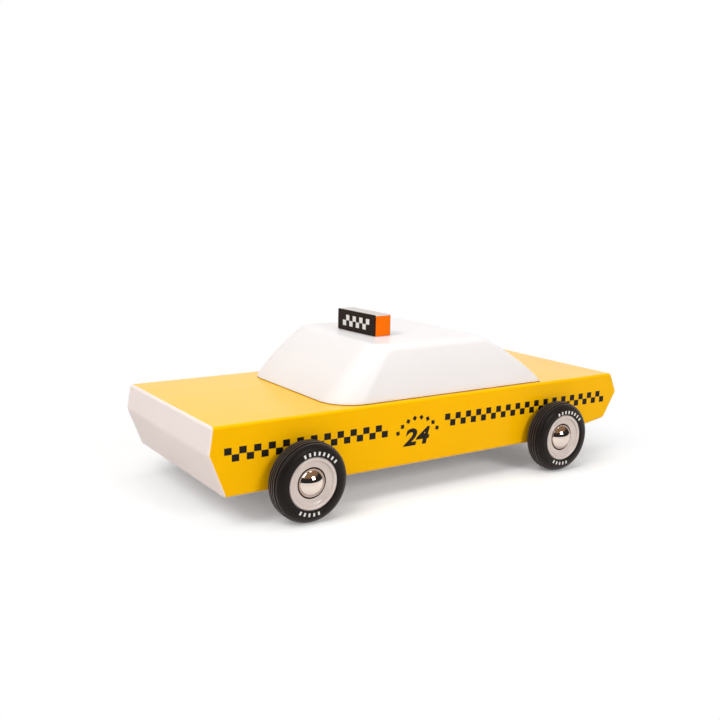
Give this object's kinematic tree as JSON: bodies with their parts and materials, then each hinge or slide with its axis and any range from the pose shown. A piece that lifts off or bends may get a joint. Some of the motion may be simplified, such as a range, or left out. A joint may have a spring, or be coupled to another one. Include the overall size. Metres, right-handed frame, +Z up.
{
  "type": "toy taxi",
  "caption": "Wooden toy taxi with a yellow body block, white cabin, free-rolling rubber-tyred wheel sets, and a roof sign held by magnets that lifts off and turns.",
  "frame": {"origin": "on the ground below the middle of the car", "axes": "-Y is the direction the nose faces, +X is the car's left side, +Z is up"},
  "size_m": [0.0928, 0.1839, 0.0612],
  "materials": {
    "body_paint": "gloss paint on hardwood",
    "cabin_paint": "gloss paint on hardwood",
    "sign_paint": "gloss paint on hardwood",
    "bare_wood": "bare hardwood",
    "tyre_rubber": "semi-gloss moulded rubber",
    "rim_plastic": "gloss moulded plastic",
    "hubcap_chrome": "polished",
    "axle_steel": "ground",
    "bush_plastic": "matt",
    "magnet_nickel": "nickel plated"
  },
  "bodies": {
    "car": {"body_block": "body_paint", "cabin_block": "cabin_paint", "front_dowel": "bare_wood", "rear_dowel": "bare_wood", "roof_magnet": "magnet_nickel", "front_left_bush": "bush_plastic", "front_right_bush": "bush_plastic", "rear_left_bush": "bush_plastic", "rear_right_bush": "bush_plastic"},
    "front_wheels": {"front_axle": "axle_steel", "front_left_tyre": "tyre_rubber", "front_left_rim": "rim_plastic", "front_left_hubcap": "hubcap_chrome", "front_right_tyre": "tyre_rubber", "front_right_rim": "rim_plastic", "front_right_hubcap": "hubcap_chrome"},
    "rear_wheels": {"rear_axle": "axle_steel", "rear_left_tyre": "tyre_rubber", "rear_left_rim": "rim_plastic", "rear_left_hubcap": "hubcap_chrome", "rear_right_tyre": "tyre_rubber", "rear_right_rim": "rim_plastic", "rear_right_hubcap": "hubcap_chrome"},
    "sign_seat": {"sign_magnet": "magnet_nickel"},
    "sign": {"sign_block": "sign_paint"}
  },
  "joints": [
    {"name": "front_roll", "type": "hinge", "parent": "car", "child": "front_wheels", "pos_m": [0, -0.0594, 0.0135], "axis": [1, 0, 0], "continuous": true},
    {"name": "rear_roll", "type": "hinge", "parent": "car", "child": "rear_wheels", "pos_m": [0, 0.053, 0.0135], "axis": [1, 0, 0], "continuous": true},
    {"name": "sign_lift", "type": "slide", "parent": "car", "child": "sign_seat", "axis": [0, 0, 1], "range_m": [0, 0.03]},
    {"name": "sign_turn", "type": "hinge", "parent": "sign_seat", "child": "sign", "pos_m": [0, -0.0116, 0.0532], "axis": [0, 0, 1], "continuous": true}
  ]
}
